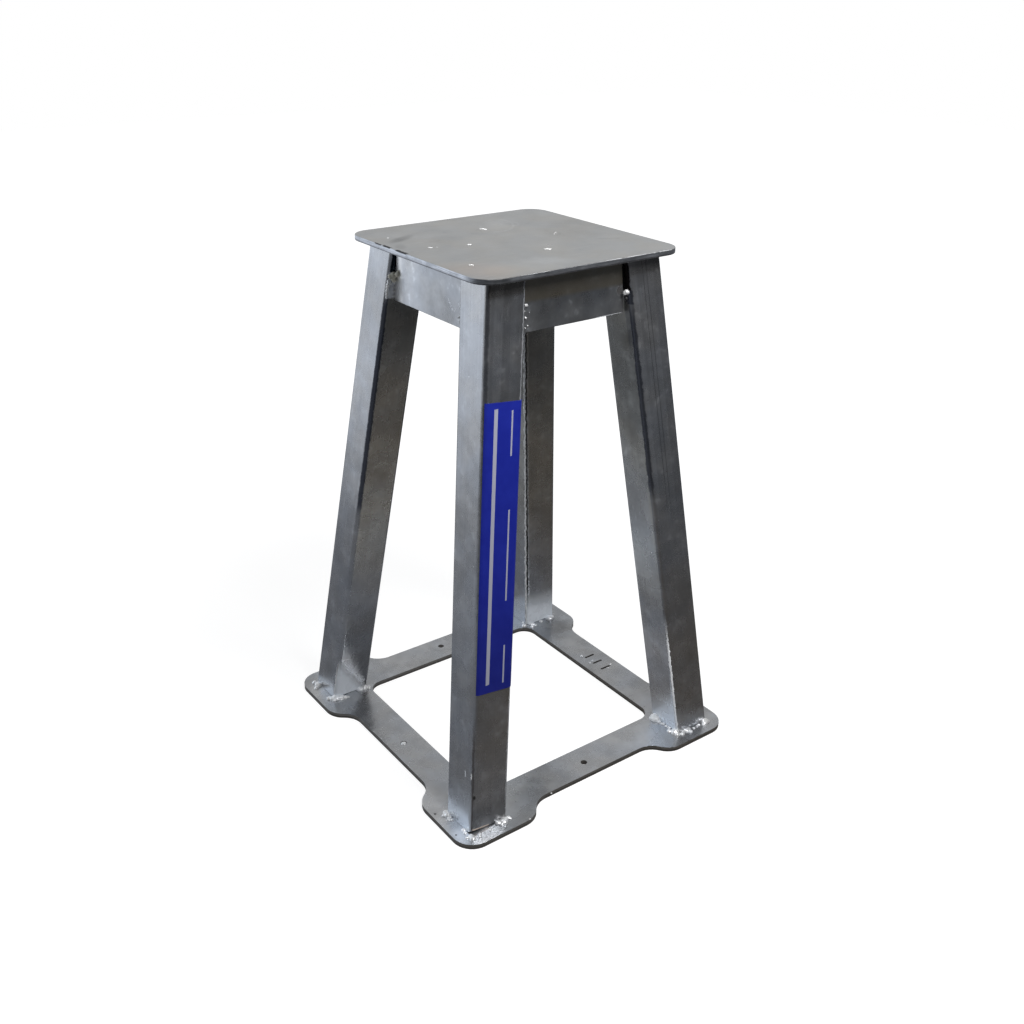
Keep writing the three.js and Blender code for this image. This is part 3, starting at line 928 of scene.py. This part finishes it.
def unwrap_tube(made, x_side, y_side):
    """Lays u round the tube and v up it, both in metres, from the side that faces outwards."""
    layer = made.loops.layers.uv.new("along_tube")
    for face in made.faces:
        turns = []
        for loop in face.loops:
            middle = tube_middle(loop.vert.co.z)
            x, y = loop.vert.co.x - x_side * middle, loop.vert.co.y - y_side * middle
            turns.append((math.atan2(y, x) + 0.75 * math.pi + math.pi) % (2 * math.pi) - math.pi)
        crossing = max(turns) - min(turns) > math.pi
        for loop, turn in zip(face.loops, turns):
            turn += 2 * math.pi if crossing and turn < 0 else 0
            loop[layer].uv = (turn / (2 * math.pi) * 4 * TUBE_SIDE, loop.vert.co.z)


def add_tubes():
    for name, x_side, y_side in CORNERS:
        cad_node = f"leg_{name}"
        made = copy_of(cad_node)
        everywhere, corner_more = FOOT_GAPS[name]
        for vert in made.verts:
            if vert.co.z < plate_top + 10 * MERGE_DISTANCE:
                x, y = vert.co.x - x_side * foot_middle, vert.co.y - y_side * foot_middle
                along, aside = x + TUBE_SIDE / 2, y + TUBE_SIDE / 2
                near = max(0.0, 1 - along / FOOT_RISE_ALONG) * max(0.0, 1 - aside / FOOT_RISE_ASIDE)
                vert.co.z += everywhere + corner_more * near
        round_edges(made, TUBE_EDGE_ROUNDING, 2, above=plate_top + FOOT_HEIGHT)
        unwrap_tube(made, x_side, y_side)
        keep_flat_faces(piece(f"tube_{name}", made, [TUBE_ZINCS[name]], [cad_node]))


def add_bars():
    for name, turns, _ in SIDES:
        cad_node = f"apron_{name}"
        made = copy_of(cad_node)
        if name in SHORT_BARS:
            end, gap_top, gap_bottom = SHORT_BARS[name]
            inner = tube_middle(underside) - TUBE_SIDE / 2
            slope = lean + (gap_top - gap_bottom) / (underside - bar_low.z)
            point = outside_of(turns) @ Vector((end * (inner - gap_top), bar_low.y, underside))
            direction = outside_of(turns).to_3x3() @ Vector((end, 0, slope)).normalized()
            slice_off(made, point, direction)
        round_edges(made, BAR_EDGE_ROUNDING, 2)
        keep_flat_faces(piece(f"bar_{name}", made, [BAR_ZINC], [cad_node]))


def lumpy(name, lumps, material, replaced=(), roughening=SMOOTH_SKIN, floor=None):
    """A weld: balls of metal at (place, radii), run together, with an uneven skin."""
    made = bmesh.new()
    for place, radii in lumps:
        size = Matrix.Diagonal((*radii, 1))
        bmesh.ops.create_icosphere(made, subdivisions=3, radius=1, matrix=Matrix.Translation(place) @ size)
    shape = thing_of(name + "_lumps", made)
    mesh = shape.data
    fused = shape.modifiers.new("fused", "REMESH")
    fused.mode = "VOXEL"
    fused.voxel_size = VOXEL_SIZE
    soft = shape.modifiers.new("soft", "SMOOTH")
    soft.iterations = 3
    bpy.context.view_layer.update()
    evaluated = shape.evaluated_get(bpy.context.evaluated_depsgraph_get())
    run_together = bmesh.new()
    run_together.from_mesh(evaluated.to_mesh())
    evaluated.to_mesh_clear()
    bpy.data.objects.remove(shape)
    bpy.data.meshes.remove(mesh)
    for vert in run_together.verts:
        vert.co += vert.normal * roughening * noise.noise(vert.co * SKIN_WAVES)
    if floor is not None:
        slice_off(run_together, (0, 0, floor), (0, 0, -1))
    return piece(name, run_together, [material], replaced)


def balls(lumps, shape=(1, 1, 1)):
    """Gives lumps (x, y, height, radius), in millimetres, their radii all ways."""
    return [((x, y, height), tuple(radius * share for share in shape))
            for x, y, height, radius in in_metres(lumps)]


def hidden_foot_lumps(corner, spot_at, chance):
    """Lumps round one corner of a tube's foot, for a weld that the photograph doesn't show."""
    _, x_side, y_side = corner
    _, x_spot, y_spot = spot_at
    middle = Vector((x_side * foot_middle, y_side * foot_middle))
    reach = TUBE_SIDE / 2 + WELD_STAND_OFF
    lumps = []
    for _ in range(chance.randint(4, 6)):
        along = chance.uniform(-HIDDEN_HALF_LENGTH, HIDDEN_HALF_LENGTH)
        x, y = x_spot * (reach + min(0, along)), y_spot * (reach - max(0, along))
        lumps.append((middle.x + x, middle.y + y, chance.uniform(*FOOT_LUMP_RADII)))
    return lumps


def add_foot_welds():
    chance = random.Random(FOOT_SEED)
    for corner in CORNERS:
        for index, spot_at in enumerate(CORNERS):
            name = f"{corner[0]}_{index + 1}"
            rows = in_metres(FOOT_LUMPS.get(name, ())) or hidden_foot_lumps(corner, spot_at, chance)
            lumps = [((x, y, plate_top + LUMP_SHIFT * radius),
                      (WELD_SPREAD * radius, WELD_SPREAD * radius, radius)) for x, y, radius in rows]
            zinc = DROP_ZINC if name in WHITE_WELDS else WELD_ZINC
            roughening = ROUGH_SKIN if name in ROUGH_WELDS else SMOOTH_SKIN
            floor = plate_top - WELD_DEPTH
            lumpy(f"foot_weld_{name}", lumps, zinc, [f"foot_tack_{name}"], roughening, floor)


def hidden_bar_lumps(end, chance):
    """Lumps at a bar's end, for a weld that the photograph doesn't show."""
    rows = []
    for step in range(5):
        height = bar_low.z + (0.4 * step / 4 + 0.05) * (bar_high.z - bar_low.z)
        inner = tube_middle(height) - TUBE_SIDE / 2
        along = end * (inner + chance.uniform(*BAR_LUMP_STRAY))
        rows.append((along, height, chance.uniform(*BAR_LUMP_RADII)))
    return rows


def add_bar_welds():
    chance = random.Random(BAR_SEED)
    for side, turns, ends in SIDES:
        for end, end_name in zip((-1, 1), ends):
            name = f"{side}_{end_name}"
            rows = in_metres(BAR_LUMPS.get(name, ())) or hidden_bar_lumps(end, chance)
            lumps = [(outside_of(turns) @ Vector((along, bar_low.y - LUMP_SHIFT * radius, height)),
                      (BAR_WELD_SPREAD * radius,) * 3) for along, height, radius in rows]
            if name in CORNER_LUMPS:
                lumps = balls(CORNER_LUMPS[name])
            zinc = DROP_ZINC if name in WHITE_WELDS else WELD_ZINC
            lumpy(f"bar_weld_{name}", lumps, zinc, [f"apron_bead_{name}"])
    lumps = [(outside_of(3) @ Vector((along, bar_low.y - outwards, height)), (radius,) * 3)
             for outwards, along, height, radius in in_metres(BROWN_LUMPS)]
    lumpy("brown_weld_left", lumps, BROWN_WELD)
    # The dull lumps, painted near black as shade
    lumpy("dark_painted_weld_front", balls(DARK_PAINTED_LUMPS), DARK_PAINTED_WELD)
    lumpy("fill_weld_left", balls(FILL_LUMPS, FILL_SHAPE), DROP_ZINC, roughening=FILL_SKIN)


def add_top_welds():
    chance = random.Random(TOP_SEED)
    for side, _, ends in SIDES:
        for end_name in ends:
            cad_node = f"top_bead_{side}_{end_name}"
            low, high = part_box(cad_node)
            size = high - low
            along = 0 if size.x > size.y else 1
            lumps = []
            for step in range(TOP_WELD_LUMPS):
                place = (low + high) / 2
                place[along] = low[along] + size[along] * (step + 0.5) / TOP_WELD_LUMPS
                place.z = high.z - TOP_WELD_DROP
                lumps.append((place, (chance.uniform(*TOP_LUMP_RADII),) * 3))
            lumpy(f"top_weld_{side}_{end_name}", lumps, WELD_ZINC, [cad_node])


def add_drops():
    """Drops of zinc left on the top plate, white beads on the base plate as painted highlights, and the one
    that clogs a hole.
    """
    made = bmesh.new()

    def drop(place, radii, turn=0.0):
        matrix = Matrix.Translation(place) @ Matrix.Rotation(turn, 4, "Z") @ Matrix.Diagonal((*radii, 1))
        bmesh.ops.create_icosphere(made, subdivisions=2, radius=1, matrix=matrix)

    for x, y, radius, stretch in TOP_DROPS:
        wide = DROP_SPREAD * radius
        radii = (wide * stretch, wide / stretch / stretch, TOP_DROP_HEIGHT * radius)
        drop((x, y, top_high.z), radii, DROP_TURN)
    # Painted highlights: white beads beside the slots and on the rim
    for x, y, radius in in_metres(BASE_GLINT_BEADS):
        drop((x, y, base_high.z), (radius, radius, BASE_DROP_HEIGHT * radius))
    x, y, radius, depth, half_height = CLOGGED_HOLE
    drop((x, y, plate_top - depth), (radius, radius, half_height))
    for face in made.faces:
        face.material_index = int(face.calc_center_median().z < top_low.z)
    piece("zinc_drops", made, [DROP_ZINC, WELD_ZINC])


def add_label():
    keep_flat_faces(piece("vinyl_label", copy_of("label"), [LABEL_BLUE], ["label"]))


# Studio

CAMERA_PLACE = Vector((-0.7481, -1.0102, 0.8873))
CAMERA_AZIMUTH = math.radians(-36.52)
CAMERA_ELEVATION = math.radians(22.75)
CAMERA_ROLL = math.radians(0.69)
CAMERA_LENS = 40.47
CAMERA_SENSOR = 36.0
NEAREST_SEEN = 0.01
PICTURE_SIDE = 1024
PICTURE_MIDDLE = (509.91, 449.01)
FLOOR_HALF = 6.0
FLOOR_DROP = 0.0002
MIRROR_HEIGHT = 0.0004
LAMP_PLACE = Vector((0.1, -0.68, 1.25))
LAMP_AIM = Vector((0, 0, 0.45))
LAMP_SIZE = 0.55
LAMP_POWER = 12.5
# The way that left faces look in the camera's mirror, and the window that they see
WINDOW_SIDE = (-0.64, 0.77, 0.0)
WINDOW = (-0.6, 0.74, 0.3)
WINDOW_LIGHT = (1.1, 1.19, 1.3, 1)
DARK_FRONT = (0.045, 0.044, 0.045, 1)
# The ground's tones in the mirror: under the stand, in front, nearby and far off
GROUND_TONES = [(0.088, 0.077, 0.066, 1), (0.05, 0.056, 0.066, 1), (0.19, 0.2, 0.22, 1),
                (1.06, 1.12, 1.21, 1)]


def add_camera():
    turn = (Matrix.Rotation(CAMERA_AZIMUTH, 4, "Z") @ Matrix.Rotation(math.pi / 2 - CAMERA_ELEVATION, 4, "X")
            @ Matrix.Rotation(CAMERA_ROLL, 4, "Z"))
    data = bpy.data.cameras.new("photo_camera")
    data.lens = CAMERA_LENS
    data.sensor_width = CAMERA_SENSOR
    data.shift_x = (PICTURE_SIDE / 2 - PICTURE_MIDDLE[0]) / PICTURE_SIDE
    data.shift_y = (PICTURE_MIDDLE[1] - PICTURE_SIDE / 2) / PICTURE_SIDE
    data.clip_start = NEAREST_SEEN
    camera = linked("photo_camera", data)
    camera.matrix_world = Matrix.Translation(CAMERA_PLACE) @ turn
    bpy.context.scene.camera = camera


def add_world():
    """A room with a window at the back left, a pale back and a dark front; white to the camera."""
    world = bpy.data.worlds.new("room")
    bpy.context.scene.world = world
    world.use_nodes = True
    Board.tree = world.node_tree
    direction = node("TexCoord").outputs["Generated"]
    height = axes_of(direction)[2]
    level = add(ramp(height, 0.0, 0.62, 0.98, 0.32), ramp(height, 0.5, 0.68, 0.0, 0.32))
    sky = node("CombineColor", level, level, level).outputs[0]
    back = ramp(dot(direction, (-0.1, 0.995, 0.0)), -0.05, 0.45)
    room = mix(back, DARK_FRONT, sky)
    window = ramp(dot(direction, WINDOW), 0.7, 0.95)
    room = mix(window, room, WINDOW_LIGHT)
    camera_ray = node("LightPath").outputs["Is Camera Ray"]
    feed(world.node_tree.nodes["Background"].inputs["Color"], mix(camera_ray, room, (1, 1, 1, 1)))


def add_plane(name, height):
    """A big level plane of the studio, with an empty material to draw on."""
    made = bmesh.new()
    place = Matrix.Translation((0, 0, height))
    bmesh.ops.create_grid(made, x_segments=1, y_segments=1, size=FLOOR_HALF, matrix=place)
    plane = thing_of(name, made)
    material = bpy.data.materials.new(name)
    material.use_nodes = True
    material.node_tree.nodes.clear()
    Board.tree = material.node_tree
    plane.data.materials.append(material)
    return plane


def add_floor():
    """A pale floor that shows white, still keeps the stand's shadow, and is clear from below."""
    add_plane("floor", -FLOOR_DROP)
    glow = ramp(distance(own_place(), (0, 0, 0)), 0.4, 1.0, 0.86, 1.0)
    path = node("LightPath").outputs
    seen = larger(path["Is Camera Ray"], path["Is Glossy Ray"], path["Is Transmission Ray"])
    light = node("Emission", (1, 1, 1, 1), times(glow, seen)).outputs[0]
    matt = node("BsdfDiffuse", (0.3, 0.3, 0.3, 1)).outputs[0]
    both = node("AddShader", light, matt).outputs[0]
    below = node("NewGeometry").outputs["Backfacing"]
    clear = node("BsdfTransparent").outputs[0]
    shown = node("MixShader", below, both, clear).outputs[0]
    node("OutputMaterial", shown)


def add_ground_reflection():
    """The ground as the zinc mirrors it: dark in front, and brighter far off towards the window."""
    plane = add_plane("ground_reflection", MIRROR_HEIGHT)
    plane.visible_camera = plane.visible_diffuse = plane.visible_shadow = plane.visible_transmission = False
    place = own_place()
    towards = dot(place, WINDOW_SIDE)
    under, ahead, nearby, far_off = GROUND_TONES
    front = mix(ramp(distance(place, (0, 0, 0)), 0.35, 1.2), under, ahead)
    near = mix(ramp(towards, -0.35, 0.15), front, nearby)
    rise = math_node("POWER", ramp(towards, 0.3, 2.4, kind="LINEAR"), 1.6)
    aside = ramp(add(dot(place, (0.6, 1.0, 0.0)), 0.24), -0.05, 0.3)
    light = node("Emission", mix(times(rise, aside), near, far_off)).outputs[0]
    node("OutputMaterial", light)


def add_lamp():
    data = bpy.data.lights.new("front_lamp", "AREA")
    data.shape = "SQUARE"
    data.size = LAMP_SIZE
    data.energy = LAMP_POWER
    lamp = linked("front_lamp", data)
    lamp.location = LAMP_PLACE
    lamp.rotation_mode = "QUATERNION"
    lamp.rotation_quaternion = (LAMP_AIM - LAMP_PLACE).to_track_quat("-Z", "Y")


add_camera()
add_world()
add_floor()
add_ground_reflection()
add_lamp()
add_plates()
add_tubes()
add_bars()
add_foot_welds()
add_bar_welds()
add_top_welds()
add_drops()
add_label()

bpy.context.scene.view_settings.view_transform = "Standard"
